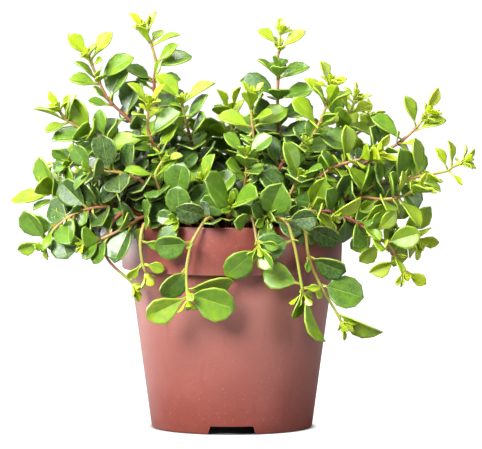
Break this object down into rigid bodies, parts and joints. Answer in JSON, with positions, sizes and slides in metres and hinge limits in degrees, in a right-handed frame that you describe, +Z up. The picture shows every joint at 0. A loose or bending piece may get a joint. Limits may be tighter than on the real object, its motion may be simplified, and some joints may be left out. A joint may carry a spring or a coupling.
{
  "type": "trailing peperomia in a plastic nursery pot",
  "caption": "Trailing jade peperomia in a round tapered plastic nursery pot: leafy stems rise from the soil, arch outwards and hang over the rim.",
  "frame": {"origin": "under the middle of the plant's box, at the plane that the pot's foot stands on; the pot's axis is 5.4 mm to its left and 10.7 mm in front of it", "axes": "+Z up along the pot's axis; +X to the right as the picture shows the plant; -Y towards the side that the picture shows"},
  "size_m": [0.251, 0.1704, 0.2245],
  "materials": {
    "pot": "satin",
    "soil": "matte",
    "leafy_stem": "satin"
  },
  "bodies": {
    "root": {"pot": "pot", "soil": "soil", "stem_back_1": "leafy_stem", "stem_back_2": "leafy_stem", "stem_back_3": "leafy_stem", "stem_back_4": "leafy_stem", "stem_back_5": "leafy_stem", "stem_back_6": "leafy_stem", "stem_back_7": "leafy_stem", "stem_back_8": "leafy_stem", "stem_back_9": "leafy_stem", "stem_back_hanging": "leafy_stem", "stem_back_left_hanging": "leafy_stem", "stem_back_right_hanging": "leafy_stem", "stem_centre": "leafy_stem", "stem_centre_back": "leafy_stem", "stem_crown_front": "leafy_stem", "stem_crown_left": "leafy_stem", "stem_crown_middle": "leafy_stem", "stem_front_bright": "leafy_stem", "stem_front_brown": "leafy_stem", "stem_front_dark": "leafy_stem", "stem_front_hanging": "leafy_stem", "stem_front_left_hanging": "leafy_stem", "stem_front_left_yellow": "leafy_stem", "stem_front_middle": "leafy_stem", "stem_front_right_dark": "leafy_stem", "stem_front_right_hanging": "leafy_stem", "stem_front_right_low": "leafy_stem", "stem_front_right_rise": "leafy_stem", "stem_front_rim_left": "leafy_stem", "stem_front_rim_right": "leafy_stem", "stem_left_back": "leafy_stem", "stem_left_dark": "leafy_stem", "stem_left_far": "leafy_stem", "stem_left_high": "leafy_stem", "stem_left_low": "leafy_stem", "stem_left_middle": "leafy_stem", "stem_left_pink": "leafy_stem", "stem_left_rim": "leafy_stem", "stem_left_shoulder": "leafy_stem", "stem_left_silver": "leafy_stem", "stem_left_thin": "leafy_stem", "stem_middle_1": "leafy_stem", "stem_middle_2": "leafy_stem", "stem_right_back": "leafy_stem", "stem_right_far": "leafy_stem", "stem_right_hanging": "leafy_stem", "stem_right_high": "leafy_stem", "stem_right_low": "leafy_stem", "stem_right_middle": "leafy_stem", "stem_right_red": "leafy_stem", "stem_right_shoulder": "leafy_stem", "stem_right_side": "leafy_stem", "stem_right_tip": "leafy_stem", "stem_right_upper": "leafy_stem", "stem_tallest": "leafy_stem"}
  },
  "joints": []
}
